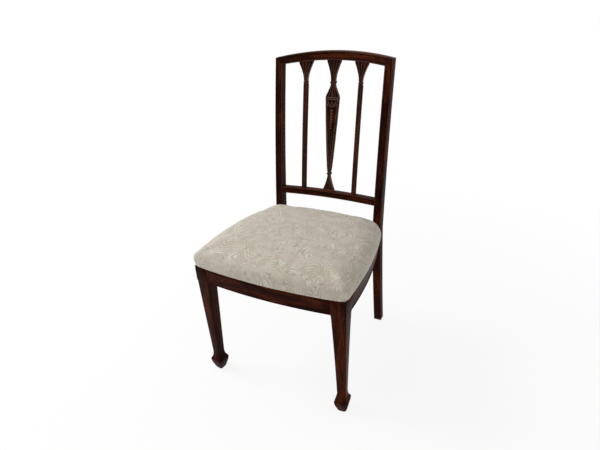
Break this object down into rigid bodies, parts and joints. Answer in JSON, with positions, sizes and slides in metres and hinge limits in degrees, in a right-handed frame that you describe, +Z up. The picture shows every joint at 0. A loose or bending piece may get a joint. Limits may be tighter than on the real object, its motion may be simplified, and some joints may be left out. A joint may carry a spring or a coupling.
{
  "type": "dining chair",
  "caption": "Mahogany dining chair with a square back of three carved splats, tapered legs on spade feet and a damask seat pad.",
  "frame": {"origin": "centre of the chair's footprint box, on the floor", "axes": "+Z up, the sitter faces -Y, +X to the left of the sitter"},
  "size_m": [0.48, 0.5422, 0.91],
  "materials": {
    "mahogany": "dark red-brown French polish, satin with soft wear on the arrises",
    "beech": "bare planed beech, unpolished",
    "damask": "cream damask with a tone-on-tone scrolling leaf pattern",
    "jute": "plain woven jute webbing and hessian",
    "screw_steel": "dulled plain steel"
  },
  "bodies": {
    "root": {"front_leg_left": "mahogany", "front_leg_right": "mahogany", "back_post_left": "mahogany", "back_post_right": "mahogany", "front_rail": "mahogany", "back_rail": "mahogany", "side_rail_left": "mahogany", "side_rail_right": "mahogany", "stay_rail": "mahogany", "crest_rail": "mahogany", "centre_splat": "mahogany", "splat_left": "mahogany", "splat_right": "mahogany", "corner_block_front_left": "beech", "corner_block_front_right": "beech", "corner_block_back_left": "beech", "corner_block_back_right": "beech", "screw_front_left_to_front_rail": "screw_steel", "screw_front_left_to_side_rail": "screw_steel", "screw_front_left_to_seat": "screw_steel", "screw_front_right_to_front_rail": "screw_steel", "screw_front_right_to_side_rail": "screw_steel", "screw_front_right_to_seat": "screw_steel", "screw_back_left_to_back_rail": "screw_steel", "screw_back_left_to_side_rail": "screw_steel", "screw_back_left_to_seat": "screw_steel", "screw_back_right_to_back_rail": "screw_steel", "screw_back_right_to_side_rail": "screw_steel", "screw_back_right_to_seat": "screw_steel", "seat_frame_front": "beech", "seat_frame_back": "beech", "seat_frame_left": "beech", "seat_frame_right": "beech", "webbing_lengthways_1": "jute", "webbing_lengthways_2": "jute", "webbing_lengthways_3": "jute", "webbing_crossways_1": "jute", "webbing_crossways_2": "jute", "webbing_crossways_3": "jute", "hessian": "jute", "seat_pad": "damask"}
  },
  "joints": []
}
